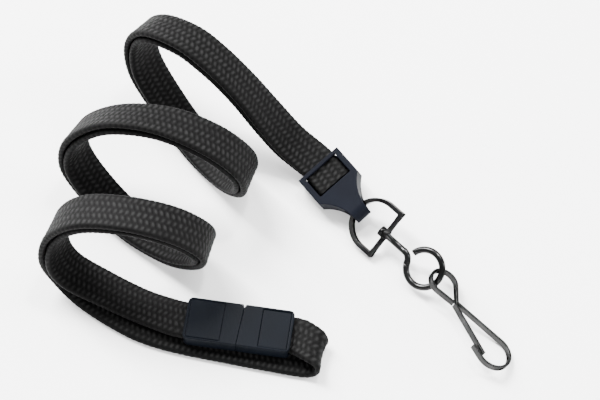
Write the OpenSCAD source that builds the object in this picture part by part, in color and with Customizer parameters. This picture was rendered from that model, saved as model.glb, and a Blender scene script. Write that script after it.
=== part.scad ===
// Flat braided lanyard lying in a loose coil, with a two-part breakaway clasp,
// a crimp, and a bail, swivel eye and strip-metal hook linked to one another.
// Millimetres. +Z is up, and the lanyard lies on the plane z = 0.

/* [Strap] */
// Width of the flat braid
strap_w = 9.5; // [9:0.1:9.6]
// Thickness of the flat braid
strap_t = 1.6; // [1.2:0.1:1.6]
// Distance between the middles of the two straps where they run together
strap_pitch = 1.9; // [1.85:0.05:2]

/* [Crimp] */
// Width of the crimp's body
crimp_w = 12.6; // [12.5:0.1:13.2]
// Length of the crimp's body
crimp_l = 8.3; // [8.1:0.1:8.7]
// Thickness of the crimp
crimp_t = 5.2; // [5.1:0.1:5.4]
// Overall length of the crimp with its tongue
crimp_reach = 17.6; // [17.4:0.1:18.2]
// Width of the crimp's tongue
tongue_w = 4.1; // [4:0.1:4.3]
// Radius of the round hole that the bail passes through
tunnel_r = 2.1; // [2.05:0.01:2.15]

/* [Bail] */
// Width of the bail over its legs
bail_w = 13.6; // [13.2:0.1:14]
// Width of the bail's strip
bail_strip_w = 2; // [1.8:0.1:2]
// Thickness of the bail's strip
bail_strip_t = 1; // [0.8:0.1:1]
// Distance from the tunnel's axis to the middle of the bail's cross bar
bail_l = 9.5; // [9.3:0.1:10]

/* [Swivel eye] */
// Radius of the eye's round wire
wire_r = 0.8; // [0.7:0.05:0.85]
// Radius of the eye's ring, to the middle of the wire
ring_r = 4.55; // [4.5:0.05:4.7]
// Distance from the tunnel's axis to the middle of the eye's ring
ring_x = 22.2; // [22:0.1:22.6]

/* [Hook] */
// Thickness of the hook's strip
hook_t = 0.75; // [0.7:0.05:0.8]
// Width of the hook's strip
hook_w = 1.4; // [1.3:0.1:1.5]
// Radius of the hook's small loop, to the middle of the strip
loop_r = 3.4; // [3.3:0.05:3.5]
// Radius of the hook's bend, to the middle of the strip
bend_r = 4.35; // [4.3:0.05:4.5]

/* [Clasp] */
// Length of the closed clasp
clasp_l = 25.6; // [25.4:0.1:26]
// Width of the clasp
clasp_w = 10.6; // [10.6:0.1:11.4]
// Thickness of the clasp
clasp_t = 4.2; // [4.2:0.1:4.4]

/* [Hidden] */
$fn = 64;

// The middle of the footprint of the hard pieces, which the origin lies under
middle = [11.23, -17.59];

// The places and turns of the hard pieces: turns are roll, pitch and heading
chain_z = 4.69;
crimp_place = [4.9, 6.9, chain_z];
crimp_turn = [18, 0, -52];
chain_heading = -45;
bail_roll = 33;
eye_roll = 30;
hook_turn = [-28, 2.2, -61];
hook_angle = 4;
clasp_place = [-14.5, -35.7, 4.05];
clasp_turn = [0, 0, -8.5];

// Crimp
lap = 0.05;
fit_gap = 0.03;
crimp_wall = 1.4;
crimp_skin = 0.75;
crimp_floor = 1;
window_l = 6;
window_side = 1.5;
tunnel_x = crimp_reach - crimp_t / 2;
tongue_x = 16.9;
neck_r = 11;
tooth = 0.25;
plate_t = 0.7;

// Bail, and the swivel eye's headed shank in it
bail_slack = 0.18;
bail_arc_x = bail_w / 2 - bail_strip_t / 2 - bail_slack;
bail_arc_r = bail_w / 2 - bail_strip_t / 2;
bar_w = 1.5;
boss_r = 1.6;
hole_r = wire_r + 0.07;
head_r = 1.3;
head_l = 1.2;
head_gap = 0.05;
shank_turn = 65;
shank_r = 2.4;
ring_start = 205;
ring_end = 525;
wire_swell = 0.06;
ring_in = [ring_x + ring_r * cos(ring_start), ring_r * sin(ring_start)];
neck_run = (-ring_in.y - shank_r * (1 - cos(shank_turn))) / sin(shank_turn);
shank_out = ring_in - neck_run * [cos(shank_turn), -sin(shank_turn)];
shank_x = shank_out.x - shank_r * sin(shank_turn);

// Hook, in its own plane: x runs from the eye's wire to the bend
loop_mid = [1.1, 0.8];
waist_left = [7, 0];
waist_right = [7.2, 0.82];
bend_mid = [21.7, 2.5];
tip_x = 18.5;
gate_end = [21.4, -0.55];
gate_gap = 0.25;
arc_steps = 40;

// Clasp, from its middle
split_x = 0.4;
split_skew = 0.6;
split_gap = 0.06;
notch_w = 0.7;
notch_l = 0.8;
clasp_wall = 0.45;
clasp_floor = 1.15;
lid_t = 1.05;
strap_stop = 5.6;
lid_from = 3.9;
plug_lid_from = 5.2;
lid_drop = 0.3;
rim = 0.7;
prong_l = 3.4;
prong_w = 1.2;
prong_t = 2;
prong_y = 3.1;
corner_r = 1.2;
barb = 0.35;

// Route of the two straps side by side, from the crimp round the coil: the point
// midway between them, then the heading and the rise of the straps' width.
TOGETHER = [
    [8.9, 1.8, 4.7, 38, 18], [4.7, 7.2, 4.7, 38, 18], [1, 10.4, 5.2, 50, 12], [-3, 13, 7.5, 56, 6],
    [-8.5, 16.7, 13.5, 61, 2], [-13.8, 20.2, 20, 62, -3], [-20, 24, 26, 60, -8],
    [-27, 28.5, 29, 55, -14], [-35, 33, 27, 48, -14], [-39, 34.5, 20.5, 50, -6],
    [-38.5, 31.5, 12, 53, 3], [-33, 24.5, 5, 56, 6], [-25.5, 14.7, 2.1, 62, 3], [-18, 5.5, 4.5, 66, 2],
    [-13.5, 0.3, 11.5, 70, -1], [-14, -0.5, 20.5, 70, -3], [-21, 1.7, 27.7, 64, -8],
    [-32.5, 5.3, 30.3, 56, -15], [-44.5, 7.8, 27.3, 52, -15], [-53, 8, 20, 57, -6],
    [-54.7, 6, 11.5, 60, 4], [-49.3, 0.3, 4.6, 60, 8], [-40.5, -7.8, 2.1, 62, 4],
    [-30.5, -14.8, 4.6, 66, 2], [-23.7, -19, 11.8, 72, 0], [-23, -20.8, 20.5, 76, -2],
    [-29, -20.4, 27.5, 74, -2], [-39.2, -18.8, 30, 70, -2], [-50, -17, 27.4, 69, -1],
    [-56.6, -16.8, 20.4, 67, 2], [-58.4, -19, 12, 62, 6]
];
// The rest of the inner strap, into the clasp's socket
INNER_END = [
    [-54.9, -21.7, 6.2, 58, 2], [-47, -25.2, 3.2, 60, -6], [-38.5, -29.3, 2.7, 61, -8],
    [-31.5, -32.3, 3.4, 68, -3], [-27.2, -33.8, 4.05, 81.5, 0], [-20.4, -34.8, 4.05, 81.5, 0]
];
// The rest of the outer strap, under the clasp, round the fold and into the plug
OUTER_END = [
    [-56, -21, 4.6, 52, 8], [-50, -26, 1.4, 54, 2], [-41, -31.8, 0.9, 60, 0], [-33.5, -35, 0.9, 69, 0],
    [-22.5, -37.8, 0.9, 76, 0], [-10.5, -40.3, 0.9, 78, 0], [-1, -42.2, 0.9, 78, 0],
    [2.2, -42.7, 1.1, 78, 0], [4, -42.7, 2.1, 78, 0], [4.5, -42.1, 3.6, 78, 0],
    [3.3, -40.8, 4.8, 78, 0], [1, -39.1, 4.8, 80, 0], [-1.8, -37.6, 4.05, 81.5, 0],
    [-8.5, -36.6, 4.05, 81.5, 0]
];
fold_from = len(TOGETHER) + 6;
fold_to = len(TOGETHER) + 12;

function unit(v) = v / norm(v);
function place_of(s) = [s[0], s[1], s[2]];
function run_at(route, i) =
    unit(place_of(route[min(i + 1, len(route) - 1)]) - place_of(route[max(i - 1, 0)]));
function flat_way(s) = [cos(s[3]) * cos(s[4]), sin(s[3]) * cos(s[4]), sin(s[4])];
function across_at(route, i) =
    let (t = run_at(route, i), w = flat_way(route[i]))
    unit(w - (w * t) * t);
function beside(route, gap) = [
    for (i = [0 : len(route) - 1])
        let (p = place_of(route[i]) + gap * cross(across_at(route, i), run_at(route, i)))
        [p.x, p.y, p.z, route[i][3], route[i][4]]
];
function frame_at(route, i) =
    let (w = across_at(route, i))
    [place_of(route[i]), w, cross(w, run_at(route, i))];
function frames_beside(gap) = [
    for (i = [0 : len(TOGETHER) - 1])
        let (f = frame_at(TOGETHER, i))
        [f[0] + gap * f[2], f[1], f[2]]
];
function frames_after(route) = [for (i = [len(TOGETHER) : len(route) - 1]) frame_at(route, i)];
function whole_strap(gap, after) =
    concat(frames_beside(gap), frames_after(concat(beside(TOGETHER, gap), after)));
inner_strap = whole_strap(-strap_pitch / 2, INNER_END);
outer_strap = whole_strap(strap_pitch / 2, OUTER_END);

// One ring of a strap: an eight-sided outline with thin edges
edge = 0.6;
RING = [
    [strap_w / 2, strap_t / 5], [strap_w / 2 - edge, strap_t / 2],
    [edge - strap_w / 2, strap_t / 2], [-strap_w / 2, strap_t / 5],
    [-strap_w / 2, -strap_t / 5], [edge - strap_w / 2, -strap_t / 2],
    [strap_w / 2 - edge, -strap_t / 2], [strap_w / 2, -strap_t / 5]
];

module strap(frames, first, last) {
    sides = len(RING);
    points = [
        for (i = [first : last], q = RING)
            frames[i][0] + q.x * frames[i][1] + q.y * frames[i][2]
    ];
    top = (last - first) * sides;
    walls = [
        for (k = [0 : sides : top - sides], j = [0 : sides - 1])
            let (a = k + j, b = k + (j + 1) % sides)
            each j < sides / 2
                ? [[a, b, b + sides], [a, b + sides, a + sides]]
                : [[a, b, a + sides], [b, b + sides, a + sides]]
    ];
    caps = [[for (j = [sides - 1 : -1 : 0]) j], [for (j = [0 : sides - 1]) top + j]];
    polyhedron(points = points, faces = concat(walls, caps));
}

module set_down(place, turn) {
    translate([place.x - middle.x, place.y - middle.y, place.z]) rotate(turn) children();
}

function heading_way(h) = [cos(h), sin(h), 0];
function side_way(h, roll) = [-sin(h) * cos(roll), cos(h) * cos(roll), sin(roll)];
bail_place = crimp_place + tunnel_x * heading_way(crimp_turn.z);
hook_place = bail_place + (ring_x + ring_r * cos(hook_angle)) * heading_way(chain_heading)
             + ring_r * sin(hook_angle) * side_way(chain_heading, eye_roll);

// A block from one corner to the opposite one
module block(low, high) {
    translate(low) cube(high - low);
}

// A straight length of strip from p to q, standing w wide across its plane, which
// laps into what it meets
module bar(p, q, t, w) {
    run = q - p;
    translate([p.x, p.y, 0])
        rotate([0, 0, atan2(run.y, run.x)])
            block([-lap, -t / 2, -w / 2], [norm(run) + lap, t / 2, w / 2]);
}

// A bent length of strip, from one angle to another about its middle
module bend(mid, r, from, to, t, w) {
    translate([mid.x, mid.y, 0])
        rotate([0, 0, from])
            rotate_extrude(angle = to - from)
                translate([r - t / 2, -w / 2])
                    square([t, w]);
}

// Points along an arc, the direction of a line at a point, and the line moved sideways by gap
function arc_line(mid, r, from, to) = [
    for (i = [0 : arc_steps])
        on_arc(mid, r, from + (to - from) * i / arc_steps)
];
function way_at(line, i) =
    unit((i > 0 ? unit(line[i] - line[i - 1]) : [0, 0])
         + (i < len(line) - 1 ? unit(line[i + 1] - line[i]) : [0, 0]));
function side_of(line, gap) = [
    for (i = [0 : len(line) - 1])
        let (t = way_at(line, i))
        line[i] + gap * [-t.y, t.x]
];
function reversed(line) = [for (i = [len(line) - 1 : -1 : 0]) line[i]];

// A bent strip that follows a line of points, standing w wide across its plane
module strip(line, t, w) {
    linear_extrude(w, center = true)
        polygon(concat(side_of(line, t / 2), reversed(side_of(line, -t / 2))));
}

// Crimp
module crimp_outline() {
    translate([0, -crimp_w / 2]) square([crimp_l, crimp_w]);
    difference() {
        translate([0, -crimp_w / 2]) square([tongue_x, crimp_w]);
        for (side = [-1, 1])
            translate([tongue_x, side * (tongue_w / 2 + neck_r)]) circle(neck_r);
    }
    translate([0, -tongue_w / 2]) square([crimp_reach, tongue_w]);
}

// The crimp's side view, which rounds off the tongue about the bail's hole
module crimp_profile() {
    rotate([90, 0, 0])
        linear_extrude(2 * crimp_w, center = true) {
            translate([0, -crimp_t / 2]) square([tunnel_x, crimp_t]);
            translate([tunnel_x, 0]) circle(crimp_t / 2);
        }
}

module crimp_front() {
    color("#1c2230")
        set_down(crimp_place, crimp_turn)
            difference() {
                intersection() {
                    translate([0, 0, -crimp_t / 2]) linear_extrude(crimp_t) crimp_outline();
                    crimp_profile();
                }
                block([-1, crimp_wall - crimp_w / 2, -crimp_t],
                      [crimp_l - crimp_floor, crimp_w / 2 - crimp_wall, crimp_t / 2 - crimp_skin]);
                block([crimp_floor, window_side - crimp_w / 2, 0],
                      [crimp_floor + window_l, crimp_w / 2 - window_side, crimp_t]);
                translate([tunnel_x, 0, 0])
                    rotate([90, 0, 0]) cylinder(h = 2 * crimp_w, r = tunnel_r, center = true);
            }
}

module crimp_back() {
    long = crimp_l - crimp_floor - fit_gap;
    half = crimp_w / 2 - crimp_wall - fit_gap;
    low = -crimp_t / 2;
    color("#1c2230")
        set_down(crimp_place, crimp_turn) {
            block([0, -half, low], [long, half, low + plate_t]);
            for (x = [1.2 : 1.6 : 6])
                block([x, 1 - half, low + plate_t / 2], [x + 0.5, half - 1, tooth - strap_pitch / 2 - strap_t / 2]);
        }
}

// Bail
module bail() {
    leg_y = bail_arc_r;
    color("#3c3d40")
        set_down(bail_place, [bail_roll, 0, chain_heading])
            difference() {
                union() {
                    bend([bail_arc_x, 0], bail_arc_r, 89, 271, bail_strip_t, bail_strip_w);
                    for (side = [-1, 1]) {
                        bar([bail_arc_x, side * leg_y], [bail_l + bail_strip_t / 2, side * leg_y],
                            bail_strip_t, bail_strip_w);
                        bar([bail_l, side * (leg_y + bail_strip_t / 2)], [bail_l, side * (leg_y - 1.6)],
                            bail_strip_t, bail_strip_w);
                    }
                    bar([bail_l, -leg_y], [bail_l, leg_y], bail_strip_t, bar_w);
                    translate([bail_l - bail_strip_t / 2, 0, 0])
                        rotate([0, 90, 0]) cylinder(h = bail_strip_t, r = boss_r);
                }
                rotate([0, 90, 0]) cylinder(h = 2 * bail_l, r = hole_r);
            }
}

// Swivel eye
module wire_bend(mid, r, from, to) {
    translate([mid.x, mid.y, 0])
        rotate([0, 0, from])
            rotate_extrude(angle = to - from)
                translate([r, 0])
                    circle(wire_r, $fn = 32);
}

module wire_run(p, q) {
    run = q - p;
    translate([p.x, p.y, 0])
        rotate([0, 0, atan2(run.y, run.x)])
            rotate([0, 90, 0]) cylinder(h = norm(run), r = wire_r, $fn = 32);
}

module swivel_eye() {
    head_x = bail_l - bail_strip_t / 2 - head_gap - head_l;
    color("#46474a")
        set_down(bail_place, [eye_roll, 0, chain_heading]) {
            translate([head_x, 0, 0]) rotate([0, 90, 0]) cylinder(h = head_l, r = head_r);
            wire_run([head_x + head_l / 2, 0], [shank_x, 0]);
            wire_bend([shank_x, -shank_r], shank_r, 90, 90 - shank_turn);
            wire_run(shank_out, ring_in);
            wire_bend([ring_x, 0], ring_r, ring_start, ring_end);
            for (p = [[shank_x, 0], shank_out, ring_in])
                translate([p.x, p.y, 0]) sphere(wire_r + wire_swell, $fn = 32);
        }
}

// Hook
function tangent_angle(mid, r, p, side) =
    let (away = p - mid)
    atan2(away.y, away.x) + side * acos(r / norm(away));
function on_arc(mid, r, angle) = mid + r * [cos(angle), sin(angle)];
loop_left = tangent_angle(loop_mid, loop_r, waist_left, -1);
loop_right = tangent_angle(loop_mid, loop_r, waist_right, 1);
bend_back = 360 + tangent_angle(bend_mid, bend_r, waist_right, -1);

hook_line = concat(
    [waist_left],
    arc_line(loop_mid, loop_r, loop_left + 360, loop_right),
    [waist_right],
    arc_line(bend_mid, bend_r, bend_back, -90),
    [[tip_x, bend_mid.y - bend_r]]
);

module hook_body() {
    color("#6a6b6d") set_down(hook_place, hook_turn) strip(hook_line, hook_t, hook_w);
}

module hook_gate() {
    run = unit(gate_end - waist_left);
    color("#6a6b6d")
        set_down(hook_place, hook_turn)
            bar(waist_left + (gate_gap + 2 * lap) * run, gate_end, hook_t, hook_w);
}

// Clasp
module clasp_outline() {
    long = clasp_l / 2 - corner_r;
    wide = clasp_w / 2 - corner_r;
    square([2 * long, clasp_w], center = true);
    square([clasp_l, 2 * wide], center = true);
    for (x = [-long, long], y = [-wide, wide])
        translate([x, y]) circle(corner_r);
}

// Everything to one side of the slanted split, on the left (-1) or the right (1)
module beyond_split(side) {
    far = side * clasp_l;
    start = split_x + side * split_gap / 2;
    polygon([[start - split_skew, -clasp_w], [start + split_skew, clasp_w], [far, clasp_w], [far, -clasp_w]]);
}

// The small V cut where the split meets the clasp's long edge
module split_notch() {
    x = split_x + split_skew / 2;
    y = clasp_w / 2;
    polygon([[x - notch_w / 2, y + lap], [x + notch_w / 2, y + lap], [x, y - notch_l]]);
}

// One half of the clasp, with its strap slot and the recess for its lid
module clasp_half(side, lid_to) {
    half = clasp_w / 2 - clasp_wall;
    low = clasp_floor - clasp_t / 2;
    difference() {
        translate([0, 0, -clasp_t / 2])
            linear_extrude(clasp_t)
                difference() {
                    intersection() {
                        clasp_outline();
                        beyond_split(side);
                    }
                    split_notch();
                }
        scale([side, 1, 1]) {
            block([strap_stop, -half, low], [clasp_l, half, -low]);
            block([lid_to, -half + fit_gap, 0], [clasp_l / 2 - rim, half - fit_gap, clasp_t]);
        }
    }
}

// A lid with teeth that bite into the strap below it
module lid(side, lid_to, drop) {
    low = clasp_t / 2 - clasp_floor + fit_gap;
    half = clasp_w / 2 - clasp_wall - 2 * fit_gap;
    far = clasp_l / 2 - rim - fit_gap;
    scale([side, 1, 1]) {
        block([lid_to + fit_gap, -half, low], [far, half, clasp_t / 2 - drop]);
        for (x = [strap_stop + 1 : 1.6 : far - 1])
            block([x, 1 - half, strap_t / 2 - tooth], [x + 0.5, half - 1, low + lid_t / 2]);
    }
}

module clasp_socket() {
    half = prong_y + prong_w / 2 + 0.5;
    color("#1a2130")
        set_down(clasp_place, clasp_turn)
            difference() {
                clasp_half(-1, lid_from);
                block([-prong_l, -half, -prong_t / 2 - 0.1], [clasp_l, half, prong_t / 2 + 0.1]);
            }
}

module socket_lid() {
    color("#1a2130") set_down(clasp_place, clasp_turn) lid(-1, lid_from, 0);
}

module clasp_plug() {
    color("#1a2130")
        set_down(clasp_place, clasp_turn) {
            clasp_half(1, plug_lid_from);
            for (side = [-1, 1])
                translate([0, side * prong_y, 0]) {
                    block([0.4 - prong_l, -prong_w / 2, -prong_t / 2], [split_x + 1, prong_w / 2, prong_t / 2]);
                    translate([0, 0, -prong_t / 2])
                        linear_extrude(prong_t)
                            polygon([[0.4 - prong_l, 0], [1.4 - prong_l, side * (prong_w / 2 + barb)],
                                     [1.8 - prong_l, 0]]);
                }
            block([0.8 - prong_l, -1, -prong_t / 2], [split_x + 1, 1, prong_t / 2]);
        }
}

module plug_lid() {
    color("#1a2130") set_down(clasp_place, clasp_turn) lid(1, plug_lid_from, lid_drop);
}

// Straps
module strap_inner() {
    color("#242426") set_down([0, 0, 0], [0, 0, 0]) strap(inner_strap, 0, len(inner_strap) - 1);
}

module strap_outer() {
    color("#242426") set_down([0, 0, 0], [0, 0, 0]) strap(outer_strap, 0, fold_from);
}

module strap_outer_fold() {
    color("#242426") set_down([0, 0, 0], [0, 0, 0]) strap(outer_strap, fold_from, fold_to);
}

module strap_outer_end() {
    color("#242426") set_down([0, 0, 0], [0, 0, 0]) strap(outer_strap, fold_to, len(outer_strap) - 1);
}

strap_inner();
strap_outer();
strap_outer_fold();
strap_outer_end();
crimp_front();
crimp_back();
bail();
swivel_eye();
hook_body();
hook_gate();
clasp_socket();
socket_lid();
clasp_plug();
plug_lid();
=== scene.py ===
"""Looks for a flat braided lanyard: two braided straps in a loose coil, a moulded
crimp, a breakaway clasp, and a bail, swivel eye and strip-metal hook. Lengths are in
millimetres until they reach Blender, where everything is in metres."""

import math

import bpy
import numpy as np
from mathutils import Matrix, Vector

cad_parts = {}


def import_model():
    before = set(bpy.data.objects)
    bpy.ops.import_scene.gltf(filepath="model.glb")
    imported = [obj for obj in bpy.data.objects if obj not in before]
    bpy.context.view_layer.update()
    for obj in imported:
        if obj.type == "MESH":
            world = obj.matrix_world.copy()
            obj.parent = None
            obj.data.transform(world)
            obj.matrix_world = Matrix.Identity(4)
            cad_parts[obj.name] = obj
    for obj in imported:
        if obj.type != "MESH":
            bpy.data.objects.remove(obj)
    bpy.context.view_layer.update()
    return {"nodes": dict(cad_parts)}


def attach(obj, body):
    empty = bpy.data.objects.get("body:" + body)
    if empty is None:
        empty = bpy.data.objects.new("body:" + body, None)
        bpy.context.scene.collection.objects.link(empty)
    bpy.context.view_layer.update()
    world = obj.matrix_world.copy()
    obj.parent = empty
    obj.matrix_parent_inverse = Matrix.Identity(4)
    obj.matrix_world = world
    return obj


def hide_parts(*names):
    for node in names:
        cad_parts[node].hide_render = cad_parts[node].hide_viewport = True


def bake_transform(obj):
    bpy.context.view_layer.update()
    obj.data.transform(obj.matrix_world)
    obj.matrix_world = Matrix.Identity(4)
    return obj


MM = 0.001

# The origin lies under this point of the layout that the routes are drawn in
MIDDLE = (11.23, -17.59)

# Straps: the size of the braid, and the distance between the middles of the two
STRAP_W = 9.5
STRAP_T = 1.8
STRAP_PITCH = 1.9

# The lowest that the braid reaches, so that it doesn't sink into the floor
FLOOR_GAP = 0.02

# Braid: columns of stitches round the strap, a stitch's length, how far its strands
# slant across a column, in stitches, how far they stand out, and the threads in each
COLUMNS = 12
STITCH = 1.37
SLANT = 0.32
BUMP = 0.19
THREADS = 7

# A strand's section: how blunt its crown is, and the share that doesn't dip at its ends
CROWN_POWER = 0.8
FLAT_SHARE = 0.3

# How much a strand still stands out round the strap's edges, and how soon it is full
EDGE_SLACK = 0.45
EDGE_SPREAD = 3

# Patches where strands stand out more or less, as a share, from column to column and
# along the strap
UNEVEN = 0.14
UNEVEN_COLUMN = 2.1
UNEVEN_LENGTHS = (3.1, 5.3)

# Slow waves along a strap, each with its height, its length and its shift in radians:
# the stitches drift, in stitches, and the width varies, as a share of itself
DRIFT_WAVES = ((0.12, 23, 1.3), (0.1, 7.7, 0))
WIDTH_WAVES = ((0.015, 9.1, 0), (0.01, 4.3, 2))

# How finely the straps are built: points per span of a route, points round each ring, and the
# distance between rings
SPAN_POINTS = 40
RING_POINTS = 60
RING_STEP = 0.25

# Where the middle of the two straps runs while they lie side by side: x, y and z, then
# the heading and the rise of the straps' width, in degrees
TOGETHER = [
    (8.9, 1.8, 4.7, 38, 18), (4.7, 7.2, 4.7, 38, 18), (1, 10.4, 5.2, 50, 12),
    (-3, 13, 7.5, 56, 6), (-8.5, 16.7, 13.5, 61, 2), (-13.8, 20.2, 20, 62, -3),
    (-20, 24, 26, 60, -8), (-27, 28.5, 29, 55, -14), (-35, 33, 27, 48, -14),
    (-39, 34.5, 20.5, 50, -6), (-38.5, 31.5, 12, 53, 3), (-33, 24.5, 5, 56, 6),
    (-25.5, 14.7, 2.1, 62, 3), (-18, 5.5, 4.5, 66, 2), (-13.5, 0.3, 11.5, 70, -1),
    (-14, -0.5, 20.5, 70, -3), (-21, 1.7, 27.7, 64, -8), (-32.5, 5.3, 30.3, 56, -15),
    (-44.5, 7.8, 27.3, 52, -15), (-53, 8, 20, 57, -6), (-54.7, 6, 11.5, 60, 4),
    (-49.3, 0.3, 4.6, 60, 8), (-40.5, -7.8, 2.1, 62, 4), (-30.5, -14.8, 4.6, 66, 2),
    (-23.7, -19, 11.8, 72, 0), (-23, -20.8, 20.5, 76, -2), (-29, -20.4, 27.5, 74, -2),
    (-39.2, -18.8, 30, 70, -2), (-50, -17, 27.4, 69, -1), (-56.6, -16.8, 20.4, 67, 2),
    (-58.4, -19, 12, 62, 6),
]
# Where each strap runs on its own after that, as far as the clasp's socket and plug
INNER_END = [
    (-54.9, -21.7, 6.2, 58, 2), (-47, -25.2, 3.2, 60, -6), (-38.5, -29.3, 2.7, 61, -8),
    (-31.5, -32.3, 3.4, 68, -3), (-27.2, -33.8, 4.05, 81.5, 0),
    (-20.4, -34.8, 4.05, 81.5, 0),
]
OUTER_END = [
    (-56, -21, 4.6, 52, 8), (-50, -26, 1.4, 54, 2), (-41, -31.8, 0.9, 60, 0),
    (-33.5, -35, 0.9, 69, 0), (-22.5, -37.8, 0.9, 76, 0), (-10.5, -40.3, 0.9, 78, 0),
    (-1, -42.2, 0.9, 78, 0), (2.2, -42.7, 1.1, 78, 0), (4, -42.7, 2.1, 78, 0),
    (4.5, -42.1, 3.6, 78, 0), (3.3, -40.8, 4.8, 78, 0), (1, -39.1, 4.8, 80, 0),
    (-1.8, -37.6, 4.05, 81.5, 0), (-8.5, -36.6, 4.05, 81.5, 0),
]
# The outer strap's station at which its fold starts
FOLD_FROM = len(TOGETHER) + 5

# Soft edges of the hardware: the grid that each mesh is rebuilt on, and its relaxing
CLASP_VOXEL = 0.1
CRIMP_VOXEL = 0.12
METAL_VOXEL = 0.08
RELAX = 0.5
RELAX_STEPS = 4
WELD = 0.002

# Colours of the plastics, each as its darkest and its lightest
CLASP_NAVY = ((0.0013, 0.0019, 0.0031), (0.0021, 0.003, 0.0049))
CRIMP_NAVY = ((0.0021, 0.0026, 0.0044), (0.0034, 0.0041, 0.0068))

# Camera, in degrees and metres, and its sensor in millimetres
CAMERA_RISE = 64
CAMERA_AWAY = 0.5
VIEW_WIDTH = 0.1482
SENSOR = 36
NEAREST = 0.01

# Stage, in metres and watts: each light's name, place, size and power
FLOOR_REACH = 3
SKY = 1.25
LIGHTS = (
    ("key", (-0.35, 0.5, 0.85), (0.4, 0.4), 38),
    ("fill", (0.35, 0.45, 0.9), (0.5, 0.5), 9),
    ("glint", (0.15, 0.25, 0.8), (0.07, 0.07), 5),
    ("strip", (-0.5, 0.5, 0.6), (0.15, 0.6), 10),
    ("left_edge", (-0.45, 0.4, 0.25), (0.06, 0.5), 6),
    ("right_edge", (0.6, 0.05, 0.3), (0.06, 0.5), 5),
    ("near_edge", (0.1, -0.6, 0.25), (0.5, 0.05), 5),
)


def link(obj):
    bpy.context.scene.collection.objects.link(obj)
    return obj


# Routes
def unit(v):
    return v / np.linalg.norm(v, axis=-1, keepdims=True)


def flat_way(heading, rise):
    h, r = np.radians(heading), np.radians(rise)
    return np.stack([np.cos(h) * np.cos(r), np.sin(h) * np.cos(r), np.sin(r)], -1)


def across(route, run):
    """Which way the strap's width points at each station, square to its run."""
    w = flat_way(route[:, 3], route[:, 4])
    return unit(w - (w * run).sum(1, keepdims=True) * run)


def beside(route, gap):
    """The route again, gap to the side of the strap's flat."""
    near, far = np.maximum(np.arange(len(route)) - 1, 0), np.arange(len(route)) + 1
    run = unit(route[np.minimum(far, len(route) - 1), :3] - route[near, :3])
    moved = route.copy()
    moved[:, :3] += gap * np.cross(across(route, run), run)
    return moved


def smooth_route(stations):
    """A Catmull-Rom curve through the stations, and which station each point is at."""
    ends = np.concatenate([
        [2 * stations[0] - stations[1]], stations, [2 * stations[-1] - stations[-2]],
    ])
    spans = len(stations) - 1
    at = np.linspace(0, spans, spans * SPAN_POINTS + 1)
    i = np.minimum(at.astype(int), spans - 1)
    t = (at - i)[:, None]
    a, b, c, d = ends[i], ends[i + 1], ends[i + 2], ends[i + 3]
    curve = 0.5 * (
        2 * b + (c - a) * t + (2 * a - 5 * b + 4 * c - d) * t**2
        + (3 * b - a - 3 * c + d) * t**3
    )
    return curve, at


def evenly(curve, at, step):
    """The curve's points again, step apart, with their stations and the distances."""
    gone = np.linalg.norm(np.diff(curve[:, :3], axis=0), axis=1)
    along = np.concatenate([[0], np.cumsum(gone)])
    count = int(round(along[-1] / step))
    s = np.linspace(0, along[-1], count + 1)
    rows = np.stack([np.interp(s, along, curve[:, k]) for k in range(5)], 1)
    return rows, np.interp(s, along, at), s


def strap_line(gap, after):
    """A whole strap: its frames, their stations and their distances along it."""
    stations = np.concatenate([
        beside(np.array(TOGETHER, float), gap), np.array(after, float),
    ])
    route, at, s = evenly(*smooth_route(stations), RING_STEP)
    run = unit(np.gradient(route[:, :3], axis=0))
    w = across(route, run)
    place = route[:, :3] - np.array([*MIDDLE, 0])
    return {"place": place, "wide": w, "thick": np.cross(w, run), "at": at, "s": s}


# Straps
def half_outline(d, r, half):
    """Place and outward way at distance d along half of the braid's outline, from the
    middle of one flat, round an edge of radius r, to the middle of the other."""
    if d < half:
        return d, r, 0, 1
    if d < half + math.pi * r:
        turn = (d - half) / r
        x, y = math.sin(turn), math.cos(turn)
        return half + r * x, r * y, x, y
    return 2 * half + math.pi * r - d, -r, 0, -1


def outline():
    """The braid's rounded outline: places, outward ways and shares of the way round."""
    r = STRAP_T / 2 - BUMP
    half = STRAP_W / 2 - BUMP - r
    total = 4 * half + 2 * math.pi * r
    rows = []
    for k in range(RING_POINTS):
        d = k * total / RING_POINTS
        mirror = 1 if d < total / 2 else -1
        x, y, way_x, way_y = half_outline(min(d, total - d), r, half)
        rows.append((mirror * x, y, mirror * way_x, way_y, d / total))
    return np.array(rows)


def waves(s, parts):
    return sum(height * np.sin(s / length + shift) for height, length, shift in parts)


def braid_height(turn, s):
    """How far the braid's strands stand out, at turns round the strap and distances
    along it. Strands slant one way in one column and the other way in the next."""
    column = np.floor(turn * COLUMNS + 0.5)
    side = turn * COLUMNS - column
    slant = np.where(column % 2 == 0, 1, -1)
    stagger = np.where(column % 2 == 0, 0, 0.5)
    phase = s / STITCH + SLANT * slant * side + stagger + waves(s, DRIFT_WAVES)
    ridge = np.abs(np.cos(math.pi * phase))
    crown = np.cos(math.pi * side)**CROWN_POWER
    first, second = UNEVEN_LENGTHS
    patch = np.sin(UNEVEN_COLUMN * column + s / first) * np.sin(s / second + column)
    uneven = 1 + UNEVEN * patch
    # the strands pull tighter round the strap's two edges
    flat = np.minimum(1, EDGE_SPREAD * np.abs(np.cos(2 * math.pi * turn)))
    slack = EDGE_SLACK + (1 - EDGE_SLACK) * flat
    return BUMP * slack * uneven * ridge * (FLAT_SHARE + (1 - FLAT_SHARE) * crown)


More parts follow.
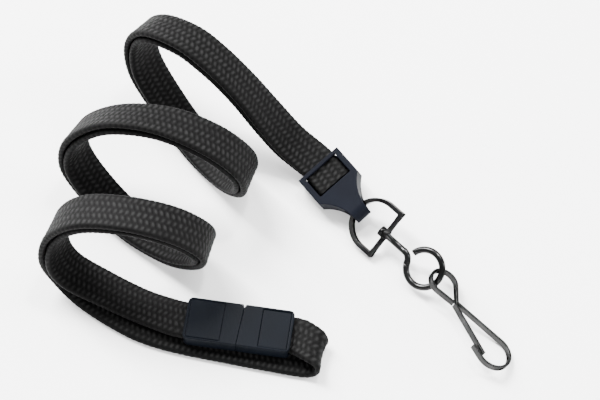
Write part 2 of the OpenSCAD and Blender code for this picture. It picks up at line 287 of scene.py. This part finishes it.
def strap_surface(line, keep, ring):
    """The braid's surface, ring by ring, and how far each of its points stands out."""
    s = line["s"][keep][:, None]
    height = braid_height(ring[None, :, 4], s)
    x = ring[None, :, 0] * (1 + waves(s, WIDTH_WAVES)) + ring[None, :, 2] * height
    y = ring[None, :, 1] + ring[None, :, 3] * height
    points = (
        line["place"][keep][:, None, :]
        + x[:, :, None] * line["wide"][keep][:, None, :]
        + y[:, :, None] * line["thick"][keep][:, None, :]
    )
    points[:, :, 2] = np.maximum(points[:, :, 2], FLOOR_GAP)
    return points, height


def tube_faces(rings, sides):
    """The quads of a tube, ring by ring, and then a face over each of its ends."""
    index = np.arange(rings * sides).reshape(rings, sides)
    a, b = index[:-1], index[1:]
    quads = np.stack([a, b, np.roll(b, -1, 1), np.roll(a, -1, 1)], -1).reshape(-1, 4)
    return quads.tolist() + [index[0].tolist(), index[-1][::-1].tolist()]


def count_stitches(mesh, turns, s):
    """A UV map that counts columns round the strap and stitches along it."""
    sides = len(turns)
    loops = np.zeros(len(mesh.loops), int)
    mesh.loops.foreach_get("vertex_index", loops)
    turn = turns[loops % sides]
    # a ring's last quad runs on to a whole turn, rather than back to none
    quads = np.arange(4 * sides * (len(s) - 1))
    closing = (quads // 4) % sides == sides - 1
    turn[quads] += closing & (loops[quads] % sides == 0)
    uv = np.stack([turn * COLUMNS, (s / STITCH)[loops // sides]], -1)
    mesh.uv_layers.new(name="UVMap").data.foreach_set("uv", uv.ravel())


def strap_mesh(name, line, first, last):
    """A braided strap as one closed mesh between two of its line's rings."""
    keep = slice(first, last + 1)
    ring = outline()
    points, height = strap_surface(line, keep, ring)
    mesh = bpy.data.meshes.new(name)
    faces = tube_faces(*points.shape[:2])
    mesh.from_pydata((points.reshape(-1, 3) * MM).tolist(), [], faces)
    mesh.update()
    count_stitches(mesh, ring[:, 4], line["s"][keep])
    # how far each point stands out, kept to paint a highlight on the strands' crowns and shade
    # in the hollows between them
    crown = mesh.attributes.new("crown", "FLOAT", "POINT")
    crown.data.foreach_set("value", (height / BUMP).ravel().astype(np.float32))
    mesh.polygons.foreach_set("use_smooth", [True] * len(mesh.polygons))
    return link(bpy.data.objects.new(name, mesh))


def make_straps():
    """The two straps and the outer one's fold, in place of the CAD straps."""
    inner = strap_line(-STRAP_PITCH / 2, INNER_END)
    outer = strap_line(STRAP_PITCH / 2, OUTER_END)
    end = len(inner["s"]) - 1
    split = int(np.searchsorted(outer["at"], FOLD_FROM))
    strap_inner = strap_mesh("braid_inner", inner, 0, end)
    strap_outer = strap_mesh("braid_outer", outer, 0, split)
    strap_fold = strap_mesh("braid_fold", outer, split, len(outer["s"]) - 1)
    braid = braid_material()
    for piece in (strap_inner, strap_outer, strap_fold):
        piece.data.materials.append(braid)
    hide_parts("strap_inner")
    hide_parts("strap_outer")
    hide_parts("strap_outer_fold", "strap_outer_end")
    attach(strap_inner, "lanyard")
    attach(strap_outer, "lanyard")
    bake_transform(strap_fold)


# Materials
class Nodes:
    """A material's node tree, with short ways to add and join nodes."""

    def __init__(self, name):
        self.material = bpy.data.materials.new(name)
        self.material.use_nodes = True
        self.tree = self.material.node_tree
        self.shader = self.tree.nodes["Principled BSDF"]

    def join(self, out, into):
        self.tree.links.new(out, into)

    def maths(self, operation, *values):
        node = self.tree.nodes.new("ShaderNodeMath")
        node.operation = operation
        for socket, value in zip(node.inputs, values):
            if isinstance(value, (int, float)):
                socket.default_value = value
            else:
                self.join(value, socket)
        return node.outputs[0]

    def ramp(self, fac, stops):
        node = self.tree.nodes.new("ShaderNodeValToRGB")
        self.join(fac, node.inputs[0])
        elements = node.color_ramp.elements
        while len(elements) < len(stops):
            elements.new(0.5)
        for element, (place, colour) in zip(elements, stops):
            element.position = place
            element.color = (*colour, 1)
        return node.outputs[0]

    def bump(self, height, strength, distance):
        node = self.tree.nodes.new("ShaderNodeBump")
        node.inputs["Strength"].default_value = strength
        node.inputs["Distance"].default_value = distance
        self.join(height, node.inputs["Height"])
        return node.outputs[0]

    def noise(self, scale, detail=3.0, stretch=None):
        place = self.tree.nodes.new("ShaderNodeTexCoord").outputs["Object"]
        if stretch:
            mapping = self.tree.nodes.new("ShaderNodeMapping")
            mapping.inputs["Scale"].default_value = stretch
            self.join(place, mapping.inputs[0])
            place = mapping.outputs[0]
        node = self.tree.nodes.new("ShaderNodeTexNoise")
        node.inputs["Scale"].default_value = scale
        node.inputs["Detail"].default_value = detail
        self.join(place, node.inputs["Vector"])
        return node.outputs[0]

    def finish(self, colour, roughness=None, normal=None, **flat):
        joined = {"Base Color": colour, "Roughness": roughness, "Normal": normal}
        for name, value in joined.items():
            if value is not None:
                self.join(value, self.shader.inputs[name])
        for name, value in flat.items():
            self.shader.inputs[name.replace("_", " ")].default_value = value
        return self.material


def grey(v):
    return (v, v, v)


def braid_threads(n):
    """Fine threads that run along each slanted strand."""
    uv = n.tree.nodes.new("ShaderNodeUVMap")
    uv.uv_map = "UVMap"
    parts = n.tree.nodes.new("ShaderNodeSeparateXYZ")
    n.join(uv.outputs[0], parts.inputs[0])
    u, v = parts.outputs[0], parts.outputs[1]
    column = n.maths("FLOOR", n.maths("ADD", u, 0.5))
    side = n.maths("SUBTRACT", u, column)
    odd = n.maths("MODULO", column, 2.0)
    slant = n.maths("SUBTRACT", 1.0, n.maths("MULTIPLY", odd, 2.0))
    phase = n.maths("ADD", v, n.maths("MULTIPLY", SLANT, n.maths("MULTIPLY", slant, side)))
    return n.maths("SINE", n.maths("MULTIPLY", phase, 2 * math.pi * THREADS))


def braid_material():
    """Black textured yarn, with a painted highlight on the crowns of its strands, painted
    shade in the hollows between them, and random paler patches.
    """
    n = Nodes("braid")
    threads = braid_threads(n)
    fuzz = n.noise(scale=2600, detail=4)
    height = n.maths("ADD", n.maths("MULTIPLY", threads, 0.35), fuzz)
    crown = n.tree.nodes.new("ShaderNodeAttribute")
    crown.attribute_name = "crown"
    patches = n.maths("MULTIPLY", n.noise(scale=900, detail=3), 0.5)
    # painted highlight on the crowns and painted shade in the hollows, from how far the
    # strands stand out, plus random paler patches
    painted_crown_light_and_patches = n.maths("ADD", crown.outputs["Fac"], patches)
    colour = n.ramp(n.maths("SUBTRACT", painted_crown_light_and_patches, 0.25), [
        (0.15, grey(0.0003)), (0.6, grey(0.0026)), (1, grey(0.0095))])
    rough = n.maths("ADD", 0.5, n.maths("MULTIPLY", fuzz, 0.22))
    normal = n.bump(height, strength=0.5, distance=0.00006)
    return n.finish(colour, rough, normal, Specular_IOR_Level=0.05)


def plastic_material(name, colours, rough):
    """Dark moulded plastic with a fine satin texture."""
    n = Nodes(name)
    deep, lit = colours
    cloud = n.noise(scale=120, detail=4)
    grain = n.noise(scale=5200, detail=2)
    colour = n.ramp(cloud, [(0.3, deep), (0.75, lit)])
    roughness = n.maths("ADD", rough, n.maths("MULTIPLY", cloud, 0.12))
    normal = n.bump(grain, strength=0.25, distance=0.00004)
    return n.finish(colour, roughness, normal, Specular_IOR_Level=0.03)


def metal_material(name, deep, lit, rough, edge, stretch=(1, 1, 1)):
    """Plated metal with faint marks drawn along one way and uneven polish."""
    n = Nodes(name)
    cloud = n.noise(scale=160, detail=4)
    marks = n.noise(scale=900, detail=5, stretch=stretch)
    colour = n.ramp(cloud, [(0.35, grey(deep)), (0.7, grey(lit))])
    roughness = n.maths("ADD", rough, n.maths("MULTIPLY", marks, 0.16))
    normal = n.bump(marks, strength=0.12, distance=0.00003)
    return n.finish(colour, roughness, normal, Metallic=1.0, Specular_Tint=(*grey(edge), 1))


# Hardware
def set_finish(node, material):
    node.data.materials.clear()
    node.data.materials.append(material)


def dress(node, material, voxel):
    """A CAD node's own mesh, with its edges softened and a finish."""
    remesh = node.modifiers.new("soft_edges", "REMESH")
    remesh.mode = "VOXEL"
    remesh.voxel_size = voxel * MM
    remesh.use_smooth_shade = True
    relax = node.modifiers.new("relax", "SMOOTH")
    relax.factor = RELAX
    relax.iterations = RELAX_STEPS
    set_finish(node, material)


def dress_wire(node, material):
    """A CAD node of round wire, shaded smoothly up to its cut ends."""
    weld = node.modifiers.new("weld", "WELD")
    weld.merge_threshold = WELD * MM
    node.data.polygons.foreach_set("use_smooth", [True] * len(node.data.polygons))
    set_finish(node, material)


def dress_hardware(nodes):
    """The clasp, the crimp, the bail, the eye and the hook, each with its finish."""
    navy = plastic_material("navy_plastic", CLASP_NAVY, rough=0.42)
    crimp = plastic_material("crimp_plastic", CRIMP_NAVY, rough=0.45)
    bright = metal_material("bail_metal", 0.012, 0.05, rough=0.16, edge=0.3, stretch=(1, 1, 6))
    dark = metal_material("eye_metal", 0.012, 0.03, rough=0.08, edge=0.4)
    satin = metal_material("hook_metal", 0.022, 0.045, rough=0.2, edge=0.3, stretch=(5, 1, 1))
    for name in ("clasp_socket", "socket_lid", "clasp_plug", "plug_lid"):
        dress(nodes[name], navy, CLASP_VOXEL)
    for name in ("crimp_front", "crimp_back"):
        dress(nodes[name], crimp, CRIMP_VOXEL)
    dress(nodes["bail"], bright, METAL_VOXEL)
    dress_wire(nodes["swivel_eye"], dark)
    for name in ("hook_body", "hook_gate"):
        dress(nodes[name], satin, METAL_VOXEL)


# Camera and stage
def make_camera():
    """The camera, and the point of the table that it looks at."""
    rise = math.radians(CAMERA_RISE)
    target = Vector((-MIDDLE[0] * MM, -MIDDLE[1] * MM, 0))
    lens = bpy.data.cameras.new("camera")
    lens.sensor_width = SENSOR
    lens.lens = SENSOR * CAMERA_AWAY / VIEW_WIDTH
    lens.clip_start = NEAREST
    camera = link(bpy.data.objects.new("camera", lens))
    camera.location = target + CAMERA_AWAY * Vector((0, -math.cos(rise), math.sin(rise)))
    camera.rotation_euler = (target - camera.location).to_track_quat("-Z", "Y").to_euler()
    bpy.context.scene.camera = camera
    return target


def make_floor():
    mesh = bpy.data.meshes.new("floor")
    far = FLOOR_REACH
    corners = [(-far, -far, 0), (far, -far, 0), (far, far, 0), (-far, far, 0)]
    mesh.from_pydata(corners, [], [(0, 1, 2, 3)])
    floor = link(bpy.data.objects.new("floor", mesh))
    n = Nodes("floor")
    colour = n.ramp(n.noise(scale=3), [(0, grey(0.93)), (1, grey(0.95))])
    mesh.materials.append(n.finish(colour, Roughness=0.9, Specular_IOR_Level=0.1))


def area_light(name, place, size, power, target):
    light = bpy.data.lights.new(name, "AREA")
    light.energy = power
    light.shape = "RECTANGLE"
    light.size, light.size_y = size
    obj = link(bpy.data.objects.new(name, light))
    obj.location = place
    obj.rotation_euler = (target - Vector(place)).to_track_quat("-Z", "Y").to_euler()


def make_stage(target):
    """A white floor, a bright even sky, and soft lights that point at the target."""
    make_floor()
    world = bpy.data.worlds.new("world")
    world.use_nodes = True
    back = world.node_tree.nodes["Background"]
    back.inputs["Color"].default_value = (1, 1, 1, 1)
    back.inputs["Strength"].default_value = SKY
    bpy.context.scene.world = world
    for name, place, size, power in LIGHTS:
        area_light(name, place, size, power, target)


def main():
    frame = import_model()
    target = make_camera()
    make_straps()
    dress_hardware(frame["nodes"])
    make_stage(target)


main()
